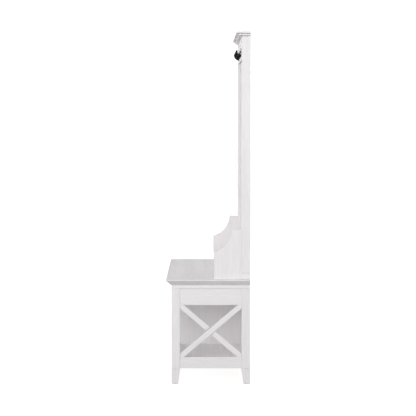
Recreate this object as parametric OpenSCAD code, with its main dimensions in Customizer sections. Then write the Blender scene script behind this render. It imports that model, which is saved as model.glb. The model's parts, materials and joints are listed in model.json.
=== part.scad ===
// Hall tree: an open bench with two cubbies, a hutch with a hook rail, and two curved arms.
// Millimetres, +Z up, front towards -Y, rear plane at +Y, floor at Z = 0.

/* [Overall] */
// Height from the floor to the top of the cornice
total_h = 1676; // [1500:1:1900]
// Width of the seat board and of the cornice
total_w = 1000; // [800:10:1200]
// Depth of the seat board
total_d = 400; // [340:5:480]
// Overhang of the seat and of the cornice past the frame
overhang = 26; // [10:1:40]

/* [Bench] */
// Square section of the legs and posts
leg_w = 40; // [30:1:60]
// Height of the tapered feet
foot_h = 77; // [50:1:120]
// Width of a foot where it meets the floor
foot_tip = 31; // [20:1:40]
// Height of the aprons under the seat
apron_h = 80; // [50:1:110]
// Height of the bottom rails
rail_h = 54; // [35:1:80]
// Thickness of the aprons and rails
rail_t = 20; // [15:1:30]
// Step from the leg face in to the apron face
reveal = 6; // [2:1:12]
// Thickness of the sub-top board
sub_t = 16; // [12:1:25]
// Thickness of the seat board with its moulded edge
seat_t = 29; // [18:1:35]
// Height of the square lip above the moulded edge
seat_lip = 6; // [4:1:15]
// Thickness of the floor board and of the divider
board_t = 18; // [12:1:25]
// Height of the top of the cubby floor
floor_z = 122; // [95:1:130]
// Thickness of the closed bench back
back_t = 6; // [3:1:10]
// Width of the crossed slats in the bench ends
brace_w = 25; // [15:1:40]
// Thickness of the crossed slats
brace_t = 16; // [10:1:20]
// Width of the shadow groove where a half slat meets the long slat
brace_gap = 5; // [1:0.5:8]
// Depth of that shadow groove
brace_gap_depth = 8; // [3:0.5:10]
// Section of the cleats under the floor board
cleat = 18; // [12:1:25]

/* [Hutch] */
// Height of the rail that carries the posts
base_h = 30; // [20:1:60]
// Height of the rail that carries the hooks
hook_rail_h = 104; // [80:1:160]
// Thickness of the hook rail
hook_rail_t = 26; // [20:1:34]
// Step from the post front back to the hook rail
hook_rail_in = 1.5; // [0:0.5:6]
// Thickness of the grooved back panels
panel_t = 8; // [6:1:12]
// Step from the post front back to the panel
panel_in = 12; // [6:1:16]
// Depth of the grooves that hold the panels
groove = 8; // [4:1:12]
// Number of boards scribed on each back panel
beads = 7; // [3:1:12]
// Width of the batten behind the panel joint
batten_w = 40; // [30:1:80]
// Thickness of the cornice cap
cap_t = 12; // [8:1:20]
// Thickness of the cornice moulding
mould_t = 10; // [6:1:20]

/* [Arms] */
// Thickness of an arm
arm_t = 18; // [12:1:30]
// Length of an arm in front of the post
arm_d = 131; // [80:1:200]
// Height of an arm above the seat
arm_h = 235; // [120:1:320]
// Radius of the hollow in an arm
arm_r = 118; // [80:1:200]
// Length of the flat top of an arm
arm_flat = 44; // [20:1:80]

/* [Hooks] */
// Distance between neighbouring hooks
hook_pitch = 250; // [150:5:350]
// Height of the lower edge of a hook plate
hook_z = 1563; // [1300:1:1800]
// Height of a hook plate
hook_h = 44; // [25:1:60]
// Width of a hook plate
hook_w = 22; // [16:1:30]
// Thickness of a hook plate
hook_t = 3; // [2:0.5:5]
// Diameter of the prong
rod_d = 9.5; // [5:0.5:10]
// Radius of the bend, at the centre of the prong
bend_r = 22; // [12:0.5:30]
// Diameter of the boss at the root of the prong
boss_d = 13; // [8:0.5:16]
// Diameter of the domed heads of the hook screws
dome_d = 7; // [5:0.5:9]

/* [Fixings] */
// Diameter of the wooden dowels
dowel_d = 8; // [6:1:10]
// Length of the wooden dowels
dowel_l = 30; // [20:1:40]
// Diameter of the dowels that carry the posts
post_dowel_d = 10; // [8:1:12]
// Diameter of the cam bolts
cam_bolt_d = 5; // [4:0.5:7]
// Diameter of the cam discs
cam_d = 15; // [12:1:20]
// Depth of the cam discs
cam_h = 12.5; // [8:0.5:14]
// Distance from a board end to the centre of its cam
cam_in = 24; // [18:1:34]
// Diameter of the hanger bolts in the feet
hanger_d = 7; // [5:0.5:8]
// Diameter of the wood screws
screw_d = 4; // [3:0.5:5]
// Diameter of the screw heads
head_d = 8; // [6:0.5:10]
// Diameter of the foot glides
glide_d = 22; // [15:1:28]
// Thickness of the foot glides
glide_t = 2; // [1:0.5:4]
// Thickness of the steel plates and brackets
steel_t = 2; // [1:0.5:3]
// Width of the joining plates
plate_w = 22; // [15:1:30]
// Diameter of the wall screw holes
wall_hole_d = 5; // [4:0.5:7]

/* [Hidden] */
$fn = 64;
rear = total_d / 2;
front = -total_d / 2 + overhang;
side = total_w / 2 - overhang;
in_x = side - leg_w;
fl_y = front + leg_w;
rl_y = rear - leg_w;
frame_top = total_h - cap_t - mould_t;
seat_z = 505;
seat_bot = seat_z - seat_t;
sub_bot = seat_bot - sub_t;
apron_z = sub_bot - apron_h;
rail_top = foot_h + rail_h;
rail_x = side - reveal - rail_t;
front_y = front + reveal;
front_in = front_y + rail_t;
rear_out = rear - 4;
rear_in = rear_out - rail_t;
back_y = rear_in - back_t;
base_top = seat_z + base_h;
panel_y = rl_y + panel_in;
hook_rail_z = frame_top - hook_rail_h;
hook_face = rl_y + hook_rail_in;
hook_rail_y = hook_face + hook_rail_t;
bead_w = (in_x + groove) / beads;
leg_c = side - leg_w / 2;
rail_c = rail_x + rail_t / 2;
post_y = rear - leg_w / 2;
bay_y = rl_y - fl_y;
bay_z = apron_z - rail_top;
brace_a = atan2(bay_z, bay_y);
bay_c = [fl_y + bay_y / 2, rail_top + bay_z / 2];
hook_xs = [-hook_pitch, 0, hook_pitch];
plate_xs = [-300, 0, 300];
plate_zs = [seat_bot - 9, seat_z - 12, seat_z + 9, seat_z + 24];
seat_screw_xs = [-390, -130, 130, 390];
seat_screw_ys = [-120, 130];
divider_ys = [-110, 20, 125];
side_zs = [foot_h + 15, rail_top - 15, apron_z + 20, sub_bot - 20];
long_zs = [foot_h + 10, rail_top - 10, apron_z + 15, sub_bot - 15];
cam_zs = [foot_h + rail_h / 2, apron_z + apron_h / 2];
rail_dowel_zs = [hook_rail_z + 20, frame_top - 34];
rail_cam_z = hook_rail_z + 46;
bracket_z = hook_rail_z - 55;
bracket_h = 30;
arm_x = side - arm_t;
arm_y = rl_y - arm_d;
arm_top = seat_z + arm_h;
arm_drop = 7;
hollow_z = arm_top + arm_drop;
hollow_y = rl_y - arm_flat - sqrt(arm_r * arm_r - arm_drop * arm_drop);
bend_y = rl_y + 1;
bend_z = hook_z + 28;

// ---- helpers ----

// A box between two corners
module box(a, b) {
  translate(a) cube(b - a);
}

// The same shape at the +X end and, mirrored, at the -X end
module both() {
  children();
  mirror([1, 0, 0]) children();
}

module on_side(s) {
  if (s > 0) children();
  else mirror([1, 0, 0]) children();
}

// A rod along X, Y or Z centred on a joint
module rod_x(d, l) { rotate([0, 90, 0]) cylinder(d = d, h = l, center = true); }
module rod_y(d, l) { rotate([90, 0, 0]) cylinder(d = d, h = l, center = true); }
module rod_z(d, l) { cylinder(d = d, h = l, center = true); }

// A countersunk screw that points to +Z with its head face at the origin
module screw(d, head, l) {
  cylinder(d1 = head, d2 = d, h = (head - d) / 2);
  cylinder(d = d, h = l);
}

// A slab with a profile on the front and on both ends and a square rear edge;
// the profile lists [step in from the overall edge, height above the slab bottom].
module moulded_slab(half_w, y0, y1, z0, prof) {
  top = prof[len(prof) - 1][1];
  pts_y = concat([for (p = prof) [y0 + p[0], p[1]]], [[y1, top], [y1, prof[0][1]]]);
  pts_x = concat(
    [for (p = prof) [-half_w + p[0], p[1]]],
    [for (i = [len(prof) - 1:-1:0]) [half_w - prof[i][0], prof[i][1]]]
  );
  translate([0, 0, z0])
    intersection() {
      translate([-half_w - 5, 0, 0]) rotate([90, 0, 90])
        linear_extrude(height = 2 * half_w + 10) polygon(pts_y);
      translate([0, y1 + 5, 0]) rotate([90, 0, 0])
        linear_extrude(height = y1 - y0 + 10) polygon(pts_x);
    }
}

// ---- fixings, each used both as the part and as the cutter for its hole ----

module side_dowel_set() {
  for (y = [fl_y, rl_y], z = side_zs) translate([rail_c, y, z]) rod_y(dowel_d, dowel_l);
}

module long_dowel_set() {
  for (y = [front_y + rail_t / 2, rear_out - rail_t / 2], z = long_zs)
    translate([in_x, y, z]) rod_x(dowel_d, dowel_l);
}

module leg_top_dowel_set() {
  for (y = [front + leg_w / 2, post_y]) translate([leg_c, y, sub_bot - 2]) rod_z(dowel_d, 26);
}

module divider_dowel_set() {
  for (y = [-90, 110]) translate([0, y, sub_bot - 2]) rod_z(dowel_d, 26);
}

module hanger_set() {
  for (y = [front + leg_w / 2, post_y]) translate([leg_c, y, foot_h]) rod_z(hanger_d, 50);
}

// Cam bolts of the long rails at one end: [y of the bolt]
module bench_cam_bolt_set() {
  for (y = [front_in - 8, rear_out - 8], z = cam_zs)
    translate([in_x - cam_in - 2, y, z]) rotate([0, 90, 0])
      cylinder(d = cam_bolt_d, h = cam_in + 14);
}

module bench_cam_set() {
  for (z = cam_zs) {
    translate([in_x - cam_in, front_in, z]) rotate([90, 0, 0]) cylinder(d = cam_d, h = cam_h);
    translate([in_x - cam_in, rear_out, z]) rotate([90, 0, 0]) cylinder(d = cam_d, h = cam_h);
  }
}

module hook_rail_cam_bolt() {
  translate([in_x - cam_in - 2, hook_rail_y - 8, rail_cam_z]) rotate([0, 90, 0])
    cylinder(d = cam_bolt_d, h = cam_in + 14);
}

module hook_rail_cam() {
  translate([in_x - cam_in, hook_rail_y, rail_cam_z]) rotate([90, 0, 0])
    cylinder(d = cam_d, h = cam_h);
}

module post_dowel() {
  translate([leg_c, post_y, base_top]) rod_z(post_dowel_d, 40);
}

module cornice_dowel_set() {
  translate([leg_c, post_y, frame_top - 6]) rod_z(dowel_d, 28);
  translate([300, rl_y + 13, frame_top - 6]) rod_z(dowel_d, 28);
}

module hook_rail_dowel_set() {
  for (z = rail_dowel_zs) translate([in_x, rl_y + 13, z]) rod_x(dowel_d, dowel_l);
}

module base_dowel_set() {
  for (x = [150, 380]) translate([x, post_y, seat_z]) rod_z(dowel_d, 24);
}

module arm_dowel_set() {
  for (y = [arm_y + 36, rl_y - 30]) translate([arm_x + arm_t / 2, y, seat_z + 2]) rod_z(dowel_d, 28);
  for (z = [base_top + 30, base_top + 160])
    translate([arm_x + arm_t / 2, rl_y, z]) rod_y(dowel_d, dowel_l);
}

module seat_screw_set() {
  for (x = seat_screw_xs, y = seat_screw_ys) translate([x, y, sub_bot]) screw(screw_d, head_d, 33);
}

module divider_screw_set() {
  for (y = divider_ys) translate([0, y, floor_z - board_t]) screw(5, 10, 50);
}

module side_cleat_screw_set() {
  for (y = [-70, 96])
    translate([rail_x - cleat, y, floor_z - board_t - cleat / 2]) rotate([0, 90, 0])
      screw(screw_d, head_d, 30);
}

module long_cleat_screw_set() {
  for (x = [-300, 0, 300]) {
    translate([x, front_in + cleat, floor_z - board_t - cleat / 2]) rotate([90, 0, 0])
      screw(screw_d, head_d, 30);
    translate([x, rear_in - cleat, floor_z - board_t - cleat / 2]) rotate([-90, 0, 0])
      screw(screw_d, head_d, 30);
  }
}

module cornice_screw_set() {
  for (x = [-350, -120, 120, 350]) translate([x, rear - 7, frame_top]) screw(3.5, 7, 18);
}

module plate_set() {
  for (x = plate_xs)
    box([x - plate_w / 2, rear - steel_t, sub_bot + 2], [x + plate_w / 2, rear, base_top - 2]);
}

module joining_screw_set() {
  for (x = plate_xs, z = plate_zs) translate([x, rear, z]) rotate([90, 0, 0]) screw(screw_d, 7.5, 18);
}

module bracket_screw_set() {
  for (z = [bracket_z + 8, bracket_z + bracket_h - 8])
    translate([in_x - steel_t, rear - 11, z]) rotate([0, 90, 0]) screw(3.5, 7, 16);
}

// Two screws side by side above the root of a prong, with domed heads on the plate
module hook_screw_set(x) {
  cap_h = dome_d * 0.36;
  cap_r = (dome_d * dome_d / 4 + cap_h * cap_h) / (2 * cap_h);
  for (dx = [-6, 6]) translate([x + dx, hook_face - hook_t, hook_z + 25.5]) rotate([90, 0, 0]) {
    translate([0, 0, -19]) cylinder(d = 3.5, h = 20);
    cylinder(d = dome_d, h = 1.5);
    translate([0, 0, 1.5]) intersection() {
      translate([0, 0, cap_h - cap_r]) sphere(r = cap_r);
      cylinder(d = dome_d + 2, h = cap_h + 1);
    }
  }
}

// ---- bench ----

module seat_top() {
  color("#efeded") difference() {
    moulded_slab(total_w / 2, -total_d / 2, rear, seat_bot,
      [[overhang, 0], [overhang, 1], [1.5, seat_t - seat_lip], [0, seat_t - seat_lip],
       [0, seat_t - 1], [1, seat_t]]);
    seat_screw_set();
    both() base_dowel_set();
    both() arm_dowel_set();
    plate_set();
    joining_screw_set();
  }
}

module sub_top() {
  color("#eceaea") difference() {
    box([-side, front, sub_bot], [side, rear, seat_bot]);
    seat_screw_set();
    both() leg_top_dowel_set();
    divider_dowel_set();
    plate_set();
    joining_screw_set();
  }
}

module leg(y0) {
  difference() {
    box([in_x, y0, foot_h], [side, y0 + leg_w, sub_bot]);
    side_dowel_set();
    long_dowel_set();
    leg_top_dowel_set();
    hanger_set();
    bench_cam_bolt_set();
  }
}

module leg_front_left() { color("#eeecec") on_side(-1) leg(front); }
module leg_front_right() { color("#eeecec") on_side(1) leg(front); }
module leg_rear_left() { color("#eeecec") on_side(-1) leg(rl_y); }
module leg_rear_right() { color("#eeecec") on_side(1) leg(rl_y); }

// A foot with plumb outer faces and tapered inner faces; dir is +1 for a front foot
module foot(outer_y, dir) {
  straight = foot_h - 10;
  difference() {
    intersection() {
      translate([in_x - 5, outer_y, 0]) rotate([90, 0, 90]) linear_extrude(height = leg_w + 10)
        polygon([[0, glide_t], [dir * foot_tip, glide_t], [dir * leg_w, straight],
                 [dir * leg_w, foot_h], [0, foot_h]]);
      translate([side, outer_y + dir * leg_w / 2 + (leg_w + 10) / 2, 0]) rotate([90, 0, 0])
        linear_extrude(height = leg_w + 10)
          polygon([[0, glide_t], [-foot_tip, glide_t], [-leg_w, straight],
                   [-leg_w, foot_h], [0, foot_h]]);
    }
    hanger_set();
    glide_set();
  }
}

module foot_front_left() { color("#ebe9e9") on_side(-1) foot(front, 1); }
module foot_front_right() { color("#ebe9e9") on_side(1) foot(front, 1); }
module foot_rear_left() { color("#ebe9e9") on_side(-1) foot(rear, -1); }
module foot_rear_right() { color("#ebe9e9") on_side(1) foot(rear, -1); }

// Nail-on glides: a disc and its nail
module glide_set() {
  for (y = [front + foot_tip / 2, rear - foot_tip / 2]) translate([side - foot_tip / 2, y, 0]) {
    cylinder(d1 = glide_d - 2, d2 = glide_d, h = 1);
    translate([0, 0, 1]) cylinder(d = glide_d, h = glide_t - 1);
    cylinder(d = 3, h = 16);
  }
}

module foot_glides() { color("#c9c7c4") both() glide_set(); }

module side_board(z0, z1) {
  difference() {
    box([rail_x, fl_y, z0], [rail_x + rail_t, rl_y, z1]);
    side_dowel_set();
    side_cleat_screw_set();
  }
}

module side_apron_left() { color("#eceaea") on_side(-1) side_board(apron_z, sub_bot); }
module side_apron_right() { color("#eceaea") on_side(1) side_board(apron_z, sub_bot); }
module side_rail_left() { color("#eceaea") on_side(-1) side_board(foot_h, rail_top); }
module side_rail_right() { color("#eceaea") on_side(1) side_board(foot_h, rail_top); }

// Crossed slats: one runs from corner to corner, the other is two halves that butt on it behind a shadow groove
module slat(a, w = brace_w, t = brace_t) {
  translate([side - reveal - 2 - t, bay_c[0], bay_c[1]]) rotate([a, 0, 0])
    translate([0, -300, -w / 2]) cube([t, 600, w]);
}

module bay(z0, z1) {
  box([rail_x, fl_y, z0], [side, rl_y, z1]);
}

// A thin dowel behind the shadow groove joins the halves through the long slat
module brace_pin() {
  translate([side - reveal - 2 - brace_t + 4, bay_c[0], bay_c[1]]) rotate([-brace_a, 0, 0])
    rod_y(5, brace_w + 36);
}

module brace_long(s) {
  color("#efeded") on_side(s) difference() {
    intersection() { slat(brace_a); bay(rail_top, apron_z); }
    brace_pin();
  }
}

module brace_half(s, z0, z1) {
  color("#efeded") on_side(s) difference() {
    intersection() { slat(-brace_a); bay(z0, z1); }
    slat(brace_a);
    translate([1, 0, 0]) slat(brace_a, brace_w + 2 * brace_gap, brace_gap_depth + 1);
    brace_pin();
  }
}

module brace_long_left() { brace_long(-1); }
module brace_long_right() { brace_long(1); }
module brace_upper_left() { brace_half(-1, bay_c[1], apron_z); }
module brace_upper_right() { brace_half(1, bay_c[1], apron_z); }
module brace_lower_left() { brace_half(-1, rail_top, bay_c[1]); }
module brace_lower_right() { brace_half(1, rail_top, bay_c[1]); }

module long_board(y0, z0, z1) {
  difference() {
    box([-in_x, y0, z0], [in_x, y0 + rail_t, z1]);
    both() {
      long_dowel_set();
      bench_cam_bolt_set();
      bench_cam_set();
    }
    long_cleat_screw_set();
  }
}

module front_apron() { color("#eceaea") long_board(front_y, apron_z, sub_bot); }
module front_rail() { color("#eceaea") long_board(front_y, foot_h, rail_top); }
module rear_apron() { color("#e9e7e7") long_board(rear_in, apron_z, sub_bot); }
module rear_rail() { color("#e9e7e7") long_board(rear_in, foot_h, rail_top); }

module bench_floor() {
  color("#eceaea") difference() {
    union() {
      box([-in_x, front_in, floor_z - board_t], [in_x, rear_in, floor_z]);
      box([-rail_x, fl_y, floor_z - board_t], [rail_x, rl_y, floor_z]);
    }
    divider_screw_set();
  }
}

module centre_divider() {
  color("#eceaea") difference() {
    box([-board_t / 2, front_in, floor_z], [board_t / 2, back_y, sub_bot]);
    divider_screw_set();
    divider_dowel_set();
  }
}

module bench_back() {
  color("#e9e7e7") box([-in_x, back_y, floor_z], [in_x, rear_in, sub_bot]);
}

module side_cleats() {
  color("#e2d3b8") both() difference() {
    box([rail_x - cleat, fl_y, floor_z - board_t - cleat], [rail_x, rl_y, floor_z - board_t]);
    side_cleat_screw_set();
  }
}

module long_cleats() {
  cx = rail_x - cleat;
  z0 = floor_z - board_t - cleat;
  color("#e2d3b8") difference() {
    union() {
      box([-cx, front_in, z0], [cx, front_in + cleat, z0 + cleat]);
      box([-cx, rear_in - cleat, z0], [cx, rear_in, z0 + cleat]);
    }
    long_cleat_screw_set();
  }
}

// ---- hutch ----

// The slot that the back panels stand in, all the way round
module panel_slot() {
  box([-in_x - groove, panel_y, base_top - groove],
      [in_x + groove, panel_y + panel_t, hook_rail_z + groove]);
}

module base_rail() {
  color("#eceaea") difference() {
    box([-side, rl_y, seat_z], [side, rear, base_top]);
    panel_slot();
    both() { post_dowel(); base_dowel_set(); arm_dowel_set(); }
    plate_set();
    joining_screw_set();
  }
}

module post(s) {
  color("#f0eeee") on_side(s) difference() {
    box([in_x, rl_y, base_top], [side, rear, frame_top]);
    panel_slot();
    post_dowel();
    cornice_dowel_set();
    hook_rail_dowel_set();
    hook_rail_cam_bolt();
    arm_dowel_set();
    bracket_screw_set();
  }
}

module post_left() { post(-1); }
module post_right() { post(1); }

module hook_rail() {
  color("#eeecec") difference() {
    box([-in_x, hook_face, hook_rail_z], [in_x, hook_rail_y, frame_top]);
    panel_slot();
    both() {
      cornice_dowel_set();
      hook_rail_dowel_set();
      hook_rail_cam_bolt();
      hook_rail_cam();
    }
    for (x = hook_xs) hook_screw_set(x);
  }
}

// A back panel with scribed V grooves on its front face
module back_panel(s) {
  color("#edebeb") on_side(s) difference() {
    box([0, panel_y, base_top - groove],
        [in_x + groove, panel_y + panel_t, hook_rail_z + groove]);
    for (i = [0:beads - 1]) translate([i * bead_w, panel_y, base_top - groove - 1])
      rotate([0, 0, 45]) translate([-1.6, -1.6, 0]) cube([3.2, 3.2, total_h]);
  }
}

module back_panel_left() { back_panel(-1); }
module back_panel_right() { back_panel(1); }

module back_batten() {
  color("#e6e4e4")
    box([-batten_w / 2, panel_y + panel_t, base_top], [batten_w / 2, rear, hook_rail_z]);
}

module cornice_mould() {
  in2 = overhang - 12;
  color("#eeecec") difference() {
    moulded_slab(total_w / 2, rl_y - overhang, rear, frame_top,
      [[overhang, 0], [12 + in2 * 0.15, 4.5], [12, 5], [12, mould_t]]);
    both() cornice_dowel_set();
    cornice_screw_set();
  }
}

module cornice_cap() {
  color("#efeded") difference() {
    moulded_slab(total_w / 2, rl_y - overhang, rear, frame_top + mould_t,
      [[12, 0], [1, 5], [0, 5], [0, cap_t - 1], [1, cap_t]]);
    cornice_screw_set();
  }
}

module arm(s) {
  color("#edebeb") on_side(s) difference() {
    box([arm_x, arm_y, seat_z], [side, rl_y, arm_top]);
    // the hollow runs from the flat top down to the front edge
    translate([arm_x - 1, hollow_y, hollow_z]) rotate([0, 90, 0])
      cylinder(r = arm_r, h = arm_t + 2, $fn = 128);
    arm_dowel_set();
  }
}

module arm_left() { arm(-1); }
module arm_right() { arm(1); }

// A cast hook: a plate with rounded corners, a root boss and a round prong that curves up to a round tip
module hook(x) {
  tip_y = bend_y - bend_r;
  color("#1c1c1d") translate([x, 0, 0]) difference() {
    union() {
      translate([0, hook_face, 0]) rotate([90, 0, 0]) linear_extrude(height = hook_t) union() {
        translate([-hook_w / 2, hook_z + 4]) square([hook_w, hook_h - 8]);
        translate([-hook_w / 2 + 4, hook_z]) square([hook_w - 8, hook_h]);
        for (cx = [-1, 1], cz = [4, hook_h - 4])
          translate([cx * (hook_w / 2 - 4), hook_z + cz]) circle(r = 4);
      }
      translate([0, hook_face - hook_t + 1, bend_z - bend_r + 1.5]) rotate([90, 0, 0])
        cylinder(d = boss_d, h = 4);
      translate([0, bend_y, bend_z]) rotate([90, 0, 90]) rotate([0, 0, 180])
        rotate_extrude(angle = 88) translate([bend_r, 0]) circle(d = rod_d);
      translate([0, tip_y, bend_z]) cylinder(d = rod_d, h = 2);
      translate([0, tip_y, bend_z + 2]) sphere(d = rod_d);
    }
    hook_screw_set(0);
  }
}

module hook_1() { hook(hook_xs[0]); }
module hook_2() { hook(hook_xs[1]); }
module hook_3() { hook(hook_xs[2]); }

// ---- fixings as parts ----

module hook_screws() { color("#2a2a2b") for (x = hook_xs) hook_screw_set(x); }

module bench_dowels() {
  color("#dcc59a") {
    both() {
      side_dowel_set();
      long_dowel_set();
      leg_top_dowel_set();
      brace_pin();
    }
    divider_dowel_set();
  }
}

module hutch_dowels() {
  color("#dcc59a") both() {
    post_dowel();
    cornice_dowel_set();
    hook_rail_dowel_set();
    base_dowel_set();
    arm_dowel_set();
  }
}

module cam_bolts() {
  color("#b9bcc0") both() {
    bench_cam_bolt_set();
    hook_rail_cam_bolt();
  }
}

module cam_discs() {
  color("#c3c5c8") both() difference() {
    union() { bench_cam_set(); hook_rail_cam(); }
    bench_cam_bolt_set();
    hook_rail_cam_bolt();
    // driver slots
    for (z = cam_zs) {
      box([in_x - cam_in - 5, front_in - 2, z - 1], [in_x - cam_in + 5, front_in + 1, z + 1]);
      box([in_x - cam_in - 5, rear_out - 2, z - 1], [in_x - cam_in + 5, rear_out + 1, z + 1]);
    }
    box([in_x - cam_in - 5, hook_rail_y - 2, rail_cam_z - 1],
        [in_x - cam_in + 5, hook_rail_y + 1, rail_cam_z + 1]);
  }
}

module hanger_bolts() { color("#b9bcc0") both() hanger_set(); }
module seat_screws() { color("#b9bcc0") seat_screw_set(); }
module divider_screws() { color("#b9bcc0") divider_screw_set(); }

module cleat_screws() {
  color("#b9bcc0") {
    both() side_cleat_screw_set();
    long_cleat_screw_set();
  }
}

module cornice_screws() { color("#b9bcc0") cornice_screw_set(); }

module joining_plates() {
  color("#c3c5c8") difference() {
    plate_set();
    joining_screw_set();
  }
}

module joining_screws() { color("#b9bcc0") joining_screw_set(); }

// L brackets behind the panel; the rear leaf has a round hole for a wall screw
module wall_brackets() {
  color("#c3c5c8") both() difference() {
    union() {
      box([in_x - steel_t, rear - 18, bracket_z], [in_x, rear, bracket_z + bracket_h]);
      box([in_x - 30, rear - steel_t, bracket_z], [in_x, rear, bracket_z + bracket_h]);
    }
    bracket_screw_set();
    translate([in_x - 18, rear - steel_t / 2, bracket_z + bracket_h / 2]) rod_y(wall_hole_d, 2 * steel_t);
  }
}

module bracket_screws() { color("#b9bcc0") both() bracket_screw_set(); }

seat_top();
sub_top();
leg_front_left();
leg_front_right();
leg_rear_left();
leg_rear_right();
foot_front_left();
foot_front_right();
foot_rear_left();
foot_rear_right();
foot_glides();
side_apron_left();
side_apron_right();
side_rail_left();
side_rail_right();
brace_long_left();
brace_long_right();
brace_upper_left();
brace_upper_right();
brace_lower_left();
brace_lower_right();
front_apron();
front_rail();
rear_apron();
rear_rail();
bench_floor();
centre_divider();
bench_back();
side_cleats();
long_cleats();
base_rail();
post_left();
post_right();
hook_rail();
back_panel_left();
back_panel_right();
back_batten();
cornice_mould();
cornice_cap();
arm_left();
arm_right();
hook_1();
hook_2();
hook_3();
hook_screws();
bench_dowels();
hutch_dowels();
cam_bolts();
cam_discs();
hanger_bolts();
seat_screws();
divider_screws();
cleat_screws();
cornice_screws();
joining_plates();
joining_screws();
wall_brackets();
bracket_screws();
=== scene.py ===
"""Hall tree with hooks: materials, fine detail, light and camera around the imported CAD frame."""

import json
import math

import bmesh
import bpy
from mathutils import Matrix, Vector

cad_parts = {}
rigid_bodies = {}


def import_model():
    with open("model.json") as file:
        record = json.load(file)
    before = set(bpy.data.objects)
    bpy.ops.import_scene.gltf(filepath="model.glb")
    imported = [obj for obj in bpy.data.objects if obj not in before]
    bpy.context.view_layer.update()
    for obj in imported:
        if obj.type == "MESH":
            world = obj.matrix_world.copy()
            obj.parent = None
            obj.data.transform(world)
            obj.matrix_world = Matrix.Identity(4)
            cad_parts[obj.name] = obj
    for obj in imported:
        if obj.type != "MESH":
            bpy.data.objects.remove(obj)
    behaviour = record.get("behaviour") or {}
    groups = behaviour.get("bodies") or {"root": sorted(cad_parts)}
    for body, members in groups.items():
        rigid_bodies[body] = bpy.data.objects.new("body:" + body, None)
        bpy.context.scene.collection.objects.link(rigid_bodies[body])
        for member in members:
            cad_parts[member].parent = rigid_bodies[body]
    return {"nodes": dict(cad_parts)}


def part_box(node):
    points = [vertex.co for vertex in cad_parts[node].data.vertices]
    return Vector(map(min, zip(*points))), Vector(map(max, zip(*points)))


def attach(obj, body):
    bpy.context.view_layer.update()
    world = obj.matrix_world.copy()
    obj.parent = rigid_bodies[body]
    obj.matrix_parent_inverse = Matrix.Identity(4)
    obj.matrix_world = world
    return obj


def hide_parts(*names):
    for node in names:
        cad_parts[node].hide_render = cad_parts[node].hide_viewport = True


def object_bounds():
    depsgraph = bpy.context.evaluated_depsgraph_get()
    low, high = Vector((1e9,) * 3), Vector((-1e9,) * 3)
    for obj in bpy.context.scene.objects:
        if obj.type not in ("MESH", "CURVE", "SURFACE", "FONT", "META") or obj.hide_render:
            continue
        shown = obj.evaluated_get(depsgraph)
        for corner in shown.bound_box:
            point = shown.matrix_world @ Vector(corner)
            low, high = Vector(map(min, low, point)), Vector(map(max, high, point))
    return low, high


for stray in list(bpy.data.objects):
    bpy.data.objects.remove(stray)

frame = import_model()
cad_lo, cad_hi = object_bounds()
NODES = frame["nodes"]
BODY = "root"
SIDES = ("left", "right")


def sided(*kinds):
    """The name of the left and the right one of each kind."""
    return [f"{kind}_{side}" for kind in kinds for side in SIDES]


# ---------------------------------------------------------------- node trees

NODE_SPACING = 190
MIX_FACTOR, MIX_A, MIX_B, MIX_RESULT = 0, 6, 7, 2  # the colour sockets of a Mix node


class Graph:
    """A short way to add nodes to a material or a world and to link them."""

    def __init__(self, tree):
        self.tree = tree
        tree.nodes.clear()

    def add(self, kind, values=None, **properties):
        node = self.tree.nodes.new(kind)
        node.location.x = NODE_SPACING * len(self.tree.nodes)
        for name, value in properties.items():
            setattr(node, name, value)
        for name, value in (values or {}).items():
            node.inputs[name].default_value = value
        return node

    def link(self, source, target):
        self.tree.links.new(source, target)

    def feed(self, target, value):
        """Link a socket to another one, or set a number or a colour on it."""
        if isinstance(value, bpy.types.NodeSocket):
            self.link(value, target)
        elif isinstance(value, tuple):
            target.default_value = (*value, 1)
        else:
            target.default_value = value

    def object_coords(self):
        return self.add("ShaderNodeTexCoord").outputs["Object"]

    def mapped(self, coords, **values):
        node = self.add("ShaderNodeMapping", values)
        self.link(coords, node.inputs["Vector"])
        return node.outputs[0]

    def noise(self, coords, **values):
        node = self.add("ShaderNodeTexNoise", values)
        self.link(coords, node.inputs["Vector"])
        return node.outputs["Fac"]

    def math(self, operation, *operands):
        node = self.add("ShaderNodeMath", operation=operation)
        for target, operand in zip(node.inputs, operands):
            self.feed(target, operand)
        return node.outputs[0]

    def line(self, value, slope, start):
        """start + slope * value"""
        return self.math("ADD", self.math("MULTIPLY", value, slope), start)

    def ramp(self, factor, stops):
        """A colour ramp through stops of (position, colour)."""
        node = self.add("ShaderNodeValToRGB")
        elements = node.color_ramp.elements
        elements.remove(elements[-1])
        elements[0].position, elements[0].color = stops[0][0], (*stops[0][1], 1)
        for position, colour in stops[1:]:
            elements.new(position).color = (*colour, 1)
        self.link(factor, node.inputs["Fac"])
        return node.outputs["Color"]

    def mix(self, factor, a, b, blend="MIX"):
        node = self.add("ShaderNodeMix", data_type="RGBA", blend_type=blend)
        for socket, value in ((MIX_FACTOR, factor), (MIX_A, a), (MIX_B, b)):
            self.feed(node.inputs[socket], value)
        return node.outputs[MIX_RESULT]

    def bump(self, height, shader, strength, distance):
        node = self.add("ShaderNodeBump", {"Strength": strength, "Distance": distance})
        self.link(height, node.inputs["Height"])
        self.link(node.outputs[0], shader.inputs["Normal"])


def new_material(name):
    mat = bpy.data.materials.new(name)
    mat.use_nodes = True
    graph = Graph(mat.node_tree)
    output = graph.add("ShaderNodeOutputMaterial")
    shader = graph.add("ShaderNodeBsdfPrincipled")
    graph.link(shader.outputs[0], output.inputs["Surface"])
    return mat, graph, shader


def scaled(colour, factor):
    return tuple(channel * factor for channel in colour)


# ---------------------------------------------------------------- white laminate

WHITE = 0.87
PAINT_TINT = (1.0, 0.984, 0.990)
ALONG_X = (0, 0, 0)
ALONG_Y = (0, 0, math.radians(90))
ALONG_Z = (0, math.radians(90), 0)

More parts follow.
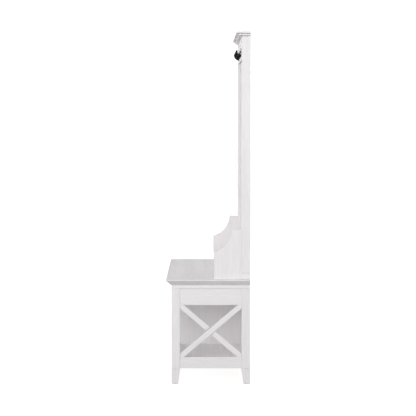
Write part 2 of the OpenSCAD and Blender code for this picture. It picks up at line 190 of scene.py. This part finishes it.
SEED_STEP = (1.0, 1.7, 0.6)  # how the print moves on from board to board
FIGURE_BANDS = 9.0
FIGURE_MIX, FIGURE_TONE = 0.42, 0.93
PORE_LEVEL, PORE_GAIN, PORE_DARKER = 0.33, 4.2, 0.05
FIBRE_DARKER = 0.035
SHADE_DARKER = 0.022
BOARD_ROUGH, WEAR_ROUGH, PORE_ROUGH = 0.55, 0.12, 0.05
PORE_RELIEF, FIBRE_RELIEF = 0.7, 0.45
RELIEF_STRENGTH, RELIEF_HEIGHT = 0.12, 0.0005
BOARD_SPECULAR = 0.24


def paint(value):
    return scaled(PAINT_TINT, value)


def laminate(name, value, turn, seed, grain=1.0, streak=1.0):
    """White laminate with a faint woodgrain print and a pressed grain that runs along X before the turn.

    grain is the strength of the whole print and its relief, streak that of its soft lengthwise streaks.
    """
    mat, graph, shader = new_material(name)
    place = graph.mapped(graph.object_coords(), Location=scaled(SEED_STEP, seed), Rotation=turn)

    # cathedral figure: broad bands bent by a slow noise, 0 at the edge of a band and 1 in its middle
    slow = graph.mapped(place, Scale=(1.3, 9.0, 9.0))
    bend = graph.noise(slow, Scale=1.6, Detail=3.0, Roughness=0.5)
    across = graph.math("FRACT", graph.math("MULTIPLY", bend, FIGURE_BANDS))
    figure = graph.math("SUBTRACT", 1.0, graph.math("ABSOLUTE", graph.line(across, 2.0, -1.0)))

    # pores: short fine dashes along the grain, 0 in a pore and 1 beside it
    fine = graph.mapped(place, Scale=(14.0, 420.0, 420.0))
    specks = graph.noise(fine, Scale=1.0, Detail=4.0, Roughness=0.62)
    pore = graph.math("MULTIPLY", graph.math("SUBTRACT", specks, PORE_LEVEL), PORE_GAIN)
    pore = graph.math("MAXIMUM", graph.math("SMOOTH_MIN", pore, 1.0), 0.0)

    # fibres are long and thin, the shade under them is broad, and the wear has no direction
    long = graph.mapped(place, Scale=(3.0, 95.0, 95.0))
    fibre = graph.noise(long, Scale=1.0, Detail=3.0, Roughness=0.55)
    broad = graph.mapped(place, Scale=(0.9, 17.0, 17.0))
    soft = graph.noise(broad, Scale=1.0, Detail=2.0, Roughness=0.4)
    wear = graph.noise(place, Scale=3.5, Detail=2.0)

    dark = paint(value * (1 - FIBRE_DARKER * grain * streak))
    tone = graph.ramp(fibre, [(0.25, dark), (0.75, paint(value))])
    tone = graph.mix(graph.math("MULTIPLY", figure, FIGURE_MIX * grain), tone, paint(value * FIGURE_TONE))
    pits = graph.ramp(pore, [(0.0, paint(1 - PORE_DARKER * grain)), (1.0, (1, 1, 1))])
    tone = graph.mix(1.0, tone, pits, "MULTIPLY")
    shade = graph.ramp(soft, [(0.30, paint(1 - SHADE_DARKER * streak)), (0.66, (1, 1, 1))])
    tone = graph.mix(1.0, tone, shade, "MULTIPLY")
    graph.link(tone, shader.inputs["Base Color"])

    rough = graph.line(wear, WEAR_ROUGH, BOARD_ROUGH)
    rough = graph.math("SUBTRACT", rough, graph.math("MULTIPLY", pore, PORE_ROUGH))
    graph.link(rough, shader.inputs["Roughness"])
    height = graph.line(pore, PORE_RELIEF, graph.math("MULTIPLY", fibre, FIBRE_RELIEF))
    graph.bump(height, shader, RELIEF_STRENGTH * grain, RELIEF_HEIGHT)
    shader.inputs["Specular IOR Level"].default_value = BOARD_SPECULAR
    return mat


# ---------------------------------------------------------------- bare wood, metal and plastic


def bare_wood(name, dark, light, turn=ALONG_X, scale=1.0):
    """Planed wood with its grain along X before the turn."""
    mat, graph, shader = new_material(name)
    stretch = (3.0 * scale, 60.0 * scale, 60.0 * scale)
    place = graph.mapped(graph.object_coords(), Rotation=turn, Scale=stretch)
    rings = graph.noise(place, Scale=1.0, Detail=4.0, Roughness=0.6)
    pores = graph.noise(place, Scale=6.0, Detail=3.0)
    middle = tuple((a + b) / 2 for a, b in zip(dark, light))
    tone = graph.ramp(rings, [(0.3, dark), (0.5, middle), (0.7, light)])
    tone = graph.mix(graph.math("MULTIPLY", pores, 0.3), tone, scaled(dark, 0.8))
    graph.link(tone, shader.inputs["Base Color"])
    graph.link(graph.line(rings, 0.2, 0.5), shader.inputs["Roughness"])
    graph.bump(pores, shader, strength=0.25, distance=0.0005)
    return mat


def metal(name, base, metallic, rough, speck=0.1, grain=900.0, specular=0.5):
    """Plated or enamelled metal: cloudy by speck, and with a fine grain in its roughness."""
    mat, graph, shader = new_material(name)
    coords = graph.object_coords()
    cloud = graph.noise(coords, Scale=180.0, Detail=4.0, Roughness=0.6)
    fine = graph.noise(coords, Scale=grain, Detail=3.0, Roughness=0.7)
    tone = graph.ramp(cloud, [(0.3, scaled(base, 1 - speck)), (0.7, scaled(base, 1 + speck))])
    graph.link(tone, shader.inputs["Base Color"])
    graph.link(graph.line(fine, 0.16, rough - 0.08), shader.inputs["Roughness"])
    graph.bump(fine, shader, strength=0.12, distance=0.0002)
    shader.inputs["Metallic"].default_value = metallic
    shader.inputs["Specular IOR Level"].default_value = specular
    return mat


def plastic(name, base, rough):
    """Moulded plastic with a fine matt texture."""
    mat, graph, shader = new_material(name)
    fine = graph.noise(graph.object_coords(), Scale=700.0, Detail=3.0)
    graph.link(graph.ramp(fine, [(0.3, scaled(base, 0.93)), (0.7, base)]), shader.inputs["Base Color"])
    graph.link(graph.line(fine, 0.1, rough), shader.inputs["Roughness"])
    graph.bump(fine, shader, strength=0.1, distance=0.0002)
    return mat


PINE_DARK, PINE_LIGHT = (0.42, 0.27, 0.13), (0.66, 0.48, 0.28)
BEECH_DARK, BEECH_LIGHT = (0.45, 0.29, 0.15), (0.63, 0.44, 0.26)
softwood_x = bare_wood("softwood_x", PINE_DARK, PINE_LIGHT)
softwood_y = bare_wood("softwood_y", PINE_DARK, PINE_LIGHT, ALONG_Y)
beech = bare_wood("beech", BEECH_DARK, BEECH_LIGHT, ALONG_Z, scale=2.0)
zinc = metal("zinc", (0.55, 0.56, 0.58), metallic=1.0, rough=0.34)
cast = metal("cast_zinc", (0.45, 0.46, 0.48), metallic=1.0, rough=0.48, speck=0.18)
black = metal("black_enamel", (0.0025, 0.0025, 0.0027), metallic=0.0, rough=0.44, speck=0.2, grain=700.0,
              specular=0.17)
black_screw = metal("black_screw", (0.012, 0.012, 0.013), metallic=0.5, rough=0.42, speck=0.2)
glide_plastic = plastic("glide_plastic", (0.50, 0.49, 0.47), rough=0.5)


# ---------------------------------------------------------------- CAD nodes that stay as they are

PLAIN = {
    "long_cleats": softwood_x, "side_cleats": softwood_y, "bench_dowels": beech, "hutch_dowels": beech,
    "cam_bolts": zinc, "cam_discs": cast, "hanger_bolts": zinc, "seat_screws": zinc, "divider_screws": zinc,
    "cleat_screws": zinc, "cornice_screws": zinc, "joining_plates": zinc, "joining_screws": zinc,
    "wall_brackets": zinc, "bracket_screws": zinc, "foot_glides": glide_plastic,
}
for node, mat in PLAIN.items():
    NODES[node].data.materials.clear()
    NODES[node].data.materials.append(mat)
finished = set(PLAIN)


def new_piece(name, mesh, node):
    """A piece that rides on the body and stands for a CAD node."""
    piece = bpy.data.objects.new(name, mesh)
    bpy.context.scene.collection.objects.link(piece)
    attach(piece, BODY)
    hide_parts(node)
    finished.add(node)
    return piece


# ---------------------------------------------------------------- boards

GRAIN = {
    ALONG_Z: [*sided("leg_front", "leg_rear", "foot_front", "foot_rear", "post", "back_panel"), "back_batten",
              *sided("arm"), "centre_divider", "bench_back"],
    ALONG_X: ["seat_top", "sub_top", "front_apron", "front_rail", "rear_apron", "rear_rail", "base_rail",
              "hook_rail", "cornice_mould", "cornice_cap", "bench_floor"],
    ALONG_Y: sided("side_apron", "side_rail"),
}
# boards that differ from the rest: lighter values on the bench's inside boards (floor, divider, back),
# painted light that stands in for light reaching into the bench; and how streaky some are and how strong
# their print is
PAINTED_LIGHT_TONE = {"bench_floor": 0.97, "centre_divider": 0.93, "bench_back": 0.90}
STREAK = {"seat_top": 2.8, "bench_floor": 2.5, "centre_divider": 1.5}
PRINT = {"cornice_mould": 0.4, "cornice_cap": 0.4}
# where on the print a board starts: by its place in its group, and for slats by the length of their names
BOARD_SEED, GROUP_SEED = 0.37, 0.11
SLAT_SEED, LETTER_SEED = 0.8, 0.13

EDGE = 0.001  # the radius of an edge, unless the board is named here
EDGES = {"seat_top": 0.0003, "cornice_mould": 0.0005, "cornice_cap": 0.0005, "bench_back": 0.0005,
         "sub_top": 0.0018}
SOFT_EDGE = 0.0022
SOFT = sided("leg_front", "leg_rear", "foot_front", "foot_rear", "post", "side_apron", "side_rail")
EDGES.update({node: SOFT_EDGE for node in ["base_rail", *SOFT]})
EDGE_SEGMENTS = 3
SHORTEST_EDGE = 0.0025
SHARP = math.radians(50)
SAME_POINT = 2e-6
SAME_PLANE = math.radians(0.4)

POCKETED = {"base_rail", "seat_top", "sub_top"}  # the joining plates lie in their rear faces
POCKET_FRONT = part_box("joining_plates")[0].y - 0.0006  # just in front of the plates

# a face's corner takes its normal from the faces around it that turn away by less than these
BROAD_BLEND = math.radians(25)  # broad faces, at the corner of a broad face
EASED_BLEND = math.radians(40)  # broad faces, at the corner of an eased edge
CORNER_BLEND = math.radians(50)  # any faces, where an eased edge has no broad face that near


def near_faces(faces, face, angle):
    return [other for other in faces if other.normal.dot(face.normal) > math.cos(angle)]


def board_normals(mesh):
    """Flat faces keep one normal, curved faces blend, and eased edges run smoothly from face to face."""
    eased = [item.value for item in mesh.attributes["eased"].data]
    around = [[] for _ in mesh.vertices]
    for face in mesh.polygons:
        for v in face.vertices:
            around[v].append(face)
    normals = []
    for face in mesh.polygons:
        for v in face.vertices:
            broad = [other for other in around[v] if not eased[other.index]]
            if eased[face.index]:
                blended = near_faces(broad, face, EASED_BLEND) or near_faces(around[v], face, CORNER_BLEND)
            else:
                blended = near_faces(broad, face, BROAD_BLEND)
            total = sum((other.normal * other.area for other in blended), Vector())
            normals.append(total.normalized() if total.length > 0 else Vector((0, 0, 1)))
    mesh.shade_smooth()
    mesh.normals_split_custom_set(normals)
    mesh.attributes.remove(mesh.attributes["eased"])


def in_pocket(edge, node):
    return node in POCKETED and all(vert.co.y > POCKET_FRONT for vert in edge.verts)


def is_eased(edge, node):
    """Whether the edge is sharp, convex and long enough to round, and not beside the plates' pockets."""
    return (len(edge.link_faces) == 2 and edge.is_convex and edge.calc_length() > SHORTEST_EDGE
            and edge.calc_face_angle(0.0) > SHARP and not in_pocket(edge, node))


def eased_board(node, mat):
    """The board with its long sharp edges rounded, as sanded and lacquered edges are."""
    mesh = bpy.data.meshes.new(f"eased_{node}")
    bm = bmesh.new()
    bm.from_mesh(NODES[node].data)
    mark = bm.faces.layers.int.new("eased")
    bmesh.ops.remove_doubles(bm, verts=bm.verts, dist=SAME_POINT)
    bmesh.ops.dissolve_limit(bm, angle_limit=SAME_PLANE, verts=bm.verts, edges=bm.edges)
    made = bmesh.ops.bevel(bm, geom=[edge for edge in bm.edges if is_eased(edge, node)],
                           offset=EDGES.get(node, EDGE), offset_type="OFFSET", segments=EDGE_SEGMENTS,
                           profile=0.5, affect="EDGES", clamp_overlap=False, loop_slide=True)
    for face in made["faces"]:
        face[mark] = 1
    bm.to_mesh(mesh)
    bm.free()
    mesh.materials.clear()
    mesh.materials.append(mat)
    board_normals(mesh)
    new_piece(f"{node}_board", mesh, node)


def slanted(angle):
    """A turn that lays the grain along a slat rising towards +Y by angle."""
    turn = Matrix.Rotation(math.radians(-90), 3, "Z") @ Matrix.Rotation(-angle, 3, "X")
    return tuple(turn.to_euler())


for turn, names in GRAIN.items():
    for i, node in enumerate(names):
        seed = BOARD_SEED * i + GROUP_SEED * len(names)
        eased_board(node, laminate(f"white_{node}", PAINTED_LIGHT_TONE.get(node, WHITE), turn, seed, PRINT.get(node, 1.0),
                                   STREAK.get(node, 1.0)))

slat_lo, slat_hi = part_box("brace_long_right")
SLANT = math.atan2(slat_hi.z - slat_lo.z, slat_hi.y - slat_lo.y)
for side in SIDES:
    for kind, angle in (("long", SLANT), ("upper", -SLANT), ("lower", -SLANT)):
        node = f"brace_{kind}_{side}"
        seed = SLAT_SEED + LETTER_SEED * len(node)
        eased_board(node, laminate(f"white_{node}", WHITE, slanted(angle), seed))


# ---------------------------------------------------------------- hooks and their screws

HOOKS = ("hook_1", "hook_2", "hook_3")
hook_lo, hook_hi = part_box(HOOKS[0])
WALL = hook_hi.y  # the rear of the plate, which lies on the hook rail
PLATE_T = 0.003
FACE = WALL - PLATE_T
PLATE_W, PLATE_H = hook_hi.x - hook_lo.x, hook_hi.z - hook_lo.z
PLATE_CORNER = 0.0042
# inset and depth from the front of the plate, along its rounded edge
PLATE_EDGE = [(0.0, PLATE_T), (0.0, 0.0011), (0.0002, 0.0005), (0.0006, 0.0001), (0.0012, 0.0)]

BEND_R = 0.022
BEND_Y, BEND_Z = WALL - 0.0005, hook_lo.z + 0.028
BEND_START, BEND_TURN = 267, 87  # degrees
BEND_STEPS = 24
PRONG_R = 0.00475
PRONG_ROOT, PRONG_WAIST = 0.0011, 0.0003  # thicker at the root, thinner halfway
PRONG_SIDES = 22
TIP_RISE = 0.002
TIP_STEPS = 8
BOSS_Z = BEND_Z - BEND_R + 0.0015
# depth and radius along the boss that the prong grows from
BOSS = [(-0.0029, 0.0044), (-0.0029, 0.0051), (-0.0026, 0.0057), (-0.0019, 0.0061), (-0.0008, 0.0063),
        (0.0005, 0.0065)]
BOSS_SIDES = 28

SCREW_X, SCREW_Z = 0.006, hook_lo.z + 0.0255
SCREW_SIDES = 48
HEAD_R = 0.0035
HEAD_RIM, HEAD_DOME = 0.0015, 0.0025  # the height of the rim, and of the dome on it
HEAD_RINGS = 14
HEAD_MIDDLE = 0.02  # the innermost ring, as a share of the radius
RECESS_DEPTH = 0.0013
RECESS_ARM, RECESS_ARM_SLOPE = 0.00062, 0.00025  # half the width of an arm of the cross, and its flank
RECESS_REACH, RECESS_END_SLOPE = 0.0021, 0.0003  # the length of an arm, and the slope at its end
# depth and radius from the rim of the head to the point
SHANK = [(-0.0011, HEAD_R), (-0.0001, HEAD_R), (0.0, 0.0033), (0.0, 0.00175), (0.016, 0.00175),
         (0.019, 0.0004)]
HOOK_SHARP = math.radians(40)
BROAD_FACE_WEIGHT = 60  # over 50 lets the broad faces count for more in the normals


def share(value):
    return max(0.0, min(1.0, value))


def full_turn(steps):
    return [2 * math.pi * step / steps for step in range(steps)]


def skin(bm, rings):
    """Faces between rings of the same length, with the first and last closed to a flat end."""
    rows = [[bm.verts.new(point) for point in ring] for ring in rings]
    for a, b in zip(rows, rows[1:]):
        for i in range(len(a)):
            j = (i + 1) % len(a)
            bm.faces.new((a[i], a[j], b[j], b[i]))
    bm.faces.new(list(reversed(rows[0])))
    bm.faces.new(rows[-1])


def circle(x, y, z, radius, steps):
    """Points round an axis along Y."""
    return [(x + radius * math.cos(t), y, z + radius * math.sin(t)) for t in full_turn(steps)]


def plate_outline(inset, y, steps=7):
    """Points round a hook plate, inset from its edge, at depth y."""
    half_w, half_h = PLATE_W / 2 - inset, PLATE_H / 2 - inset
    radius = PLATE_CORNER - 0.6 * inset
    middle = hook_lo.z + PLATE_H / 2
    points = []
    for right, up, first in ((1, 1, 0), (-1, 1, 90), (-1, -1, 180), (1, -1, 270)):
        for step in range(steps + 1):
            t = math.radians(first + 90 * step / steps)
            points.append((right * (half_w - radius) + radius * math.cos(t), y,
                           middle + up * (half_h - radius) + radius * math.sin(t)))
    return points


def prong_rings():
    """Circles along the bend from inside the plate to the rounded tip."""
    spine = []
    for step in range(BEND_STEPS + 1):
        along = step / BEND_STEPS
        t = math.radians(BEND_START - BEND_TURN * along)
        radius = PRONG_R + PRONG_ROOT * (1 - along) ** 2 - PRONG_WAIST * math.sin(math.pi * along)
        spine.append((BEND_Y + BEND_R * math.cos(t), BEND_Z + BEND_R * math.sin(t), t - math.pi / 2, radius))
    for step in range(TIP_STEPS):
        t = math.pi / 2 * step / TIP_STEPS
        spine.append((BEND_Y - BEND_R, BEND_Z + TIP_RISE + PRONG_R * math.sin(t), math.pi / 2,
                      PRONG_R * math.cos(t)))
    rings = []
    for y, z, heading, radius in spine:
        side_y, side_z = -math.sin(heading) * radius, math.cos(heading) * radius
        rings.append([(radius * math.cos(a), y + side_y * math.sin(a), z + side_z * math.sin(a))
                      for a in full_turn(PRONG_SIDES)])
    return rings


def hook_mesh(name):
    """A hook at x = 0: its plate, the boss on it and the prong."""
    bm = bmesh.new()
    skin(bm, [plate_outline(inset, FACE + depth) for inset, depth in PLATE_EDGE])
    skin(bm, [circle(0.0, FACE + depth, BOSS_Z, radius, BOSS_SIDES) for depth, radius in BOSS])
    skin(bm, prong_rings())
    bmesh.ops.recalc_face_normals(bm, faces=bm.faces)
    mesh = bpy.data.meshes.new(name)
    bm.to_mesh(mesh)
    bm.free()
    return mesh


def recessed_head(bm, x):
    """A domed screw with a cross recess pressed into its head, its rim and its shank."""
    rings = []
    for step in range(HEAD_RINGS + 1):
        radius = HEAD_R * (HEAD_MIDDLE + (1 - HEAD_MIDDLE) * step / HEAD_RINGS)
        reach = share((RECESS_REACH - radius) / RECESS_END_SLOPE)
        dome = FACE - HEAD_RIM - HEAD_DOME * (1 - (radius / HEAD_R) ** 2)
        ring = []
        for t in full_turn(SCREW_SIDES):
            u, v = radius * math.cos(t), radius * math.sin(t)
            arm = share((RECESS_ARM - min(abs(u), abs(v))) / RECESS_ARM_SLOPE)
            ring.append((x + u, dome + RECESS_DEPTH * arm * reach, SCREW_Z + v))
        rings.append(ring)
    rings += [circle(x, FACE + depth, SCREW_Z, radius, SCREW_SIDES) for depth, radius in SHANK]
    skin(bm, rings)


def smooth_metal(piece):
    """Smooth shading that keeps the broad faces flat."""
    piece.data.shade_smooth()
    piece.data.set_sharp_from_angle(angle=HOOK_SHARP)
    weighted = piece.modifiers.new("weighted", "WEIGHTED_NORMAL")
    weighted.keep_sharp = True
    weighted.weight = BROAD_FACE_WEIGHT


screws = bmesh.new()
for node in HOOKS:
    lo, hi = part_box(node)
    middle = (lo.x + hi.x) / 2
    mesh = hook_mesh(f"{node}_cast")
    mesh.transform(Matrix.Translation((middle, 0, 0)))
    mesh.materials.append(black)
    smooth_metal(new_piece(f"{node}_cast", mesh, node))
    for x in (middle - SCREW_X, middle + SCREW_X):
        recessed_head(screws, x)
bmesh.ops.recalc_face_normals(screws, faces=screws.faces)
mesh = bpy.data.meshes.new("hook_screw_heads")
screws.to_mesh(mesh)
screws.free()
mesh.materials.append(black_screw)
smooth_metal(new_piece("hook_screw_heads", mesh, "hook_screws"))

unfinished = sorted(set(NODES) - finished)
assert not unfinished, f"no finish on {unfinished}"


# ---------------------------------------------------------------- floor and light

FLOOR_HALF = 40.0
FLOOR_GLOW = 0.66
# brightness of the studio by height: 0 is straight down, 0.5 the horizon and 1 straight up
STUDIO = [(0.0, 0.34), (0.42, 0.38), (0.455, 1.12), (0.60, 1.12), (0.66, 0.44), (1.0, 0.38)]
# name, place, what it points at, size, watts, share of its highlight that shows
LIGHTS = [
    ("key", (6.3, -0.3, 2.0), (0.2, 0.0, 0.9), (3.0, 3.0), 77, 1.0),
    ("top_key", (3.0, -0.4, 1.9), (0.5, 0.0, 1.5), (1.2, 1.2), 20, 0.15),
    ("front_fill", (-0.4, -6.2, 1.9), (0.0, 0.0, 0.8), (3.0, 2.5), 103, 0.15),
    ("rear_fill", (-1.0, 6.2, 2.0), (0.0, 0.0, 0.9), (3.0, 2.5), 40, 0.0),
    ("far_fill", (-6.2, 0.4, 2.0), (0.0, 0.0, 0.9), (3.0, 2.5), 40, 0.0),
]


def facing(place, aim):
    """The rotation of a light or camera at a place that points it at aim."""
    return (Vector(aim) - Vector(place)).to_track_quat("-Z", "Y").to_euler()


def floor_material():
    mat, graph, shader = new_material("pale_floor")
    soft = graph.noise(graph.object_coords(), Scale=1.2, Detail=2.0)
    tone = graph.ramp(soft, [(0.3, (0.80, 0.80, 0.80)), (0.7, (0.82, 0.82, 0.82))])
    graph.link(tone, shader.inputs["Base Color"])
    shader.inputs["Roughness"].default_value = 0.9
    shader.inputs["Specular IOR Level"].default_value = 0.1
    shader.inputs["Emission Color"].default_value = (1, 1, 1, 1)
    shader.inputs["Emission Strength"].default_value = FLOOR_GLOW
    return mat


def pale_floor():
    """A wide plane that glows a little and throws no light or reflection back on the object."""
    half = FLOOR_HALF
    corners = [(-half, -half, 0), (half, -half, 0), (half, half, 0), (-half, half, 0)]
    mesh = bpy.data.meshes.new("floor")
    mesh.from_pydata(corners, [], [(0, 1, 2, 3)])
    mesh.materials.append(floor_material())
    ground = bpy.data.objects.new("floor", mesh)
    bpy.context.scene.collection.objects.link(ground)
    ground.visible_diffuse = False
    ground.visible_glossy = False


def studio_world():
    """A soft grey room with a bright band round the horizon."""
    world = bpy.data.worlds.new("studio")
    world.use_nodes = True
    graph = Graph(world.node_tree)
    output = graph.add("ShaderNodeOutputWorld")
    background = graph.add("ShaderNodeBackground")
    graph.link(background.outputs[0], output.inputs["Surface"])
    direction = graph.add("ShaderNodeSeparateXYZ")
    graph.link(graph.add("ShaderNodeTexCoord").outputs["Generated"], direction.inputs[0])
    height = graph.math("MULTIPLY", graph.math("ADD", direction.outputs["Z"], 1.0), 0.5)
    graph.link(graph.ramp(height, [(at, (value,) * 3) for at, value in STUDIO]), background.inputs["Color"])
    bpy.context.scene.world = world


def area_light(name, place, aim, size, power, gloss):
    data = bpy.data.lights.new(name, "AREA")
    data.shape = "RECTANGLE"
    data.size, data.size_y = size
    data.energy = power
    data.specular_factor = gloss
    light = bpy.data.objects.new(name, data)
    light.location = place
    light.rotation_euler = facing(place, aim)
    light.visible_camera = False
    bpy.context.scene.collection.objects.link(light)


pale_floor()
studio_world()
for light in LIGHTS:
    area_light(*light)
bpy.context.scene.view_settings.view_transform = "Standard"


# ---------------------------------------------------------------- camera

CAMERA_DISTANCE = 7.06  # from the near end of the object
CAMERA_Z, AIM_Z = 1.309, 0.84616
FOCAL_LENGTH = 129.7  # mm, on a sensor 36 mm wide

cam_data = bpy.data.cameras.new("photo_camera")
cam_data.sensor_width = 36.0
cam_data.sensor_fit = "HORIZONTAL"
cam_data.lens = FOCAL_LENGTH
cam_data.clip_start, cam_data.clip_end = 0.1, 100.0
cam = bpy.data.objects.new("photo_camera", cam_data)
cam.location = (cad_hi.x + CAMERA_DISTANCE, 0.0, CAMERA_Z)
cam.rotation_euler = facing(cam.location, (cad_hi.x, 0.0, AIM_Z))
bpy.context.scene.collection.objects.link(cam)
bpy.context.scene.camera = cam
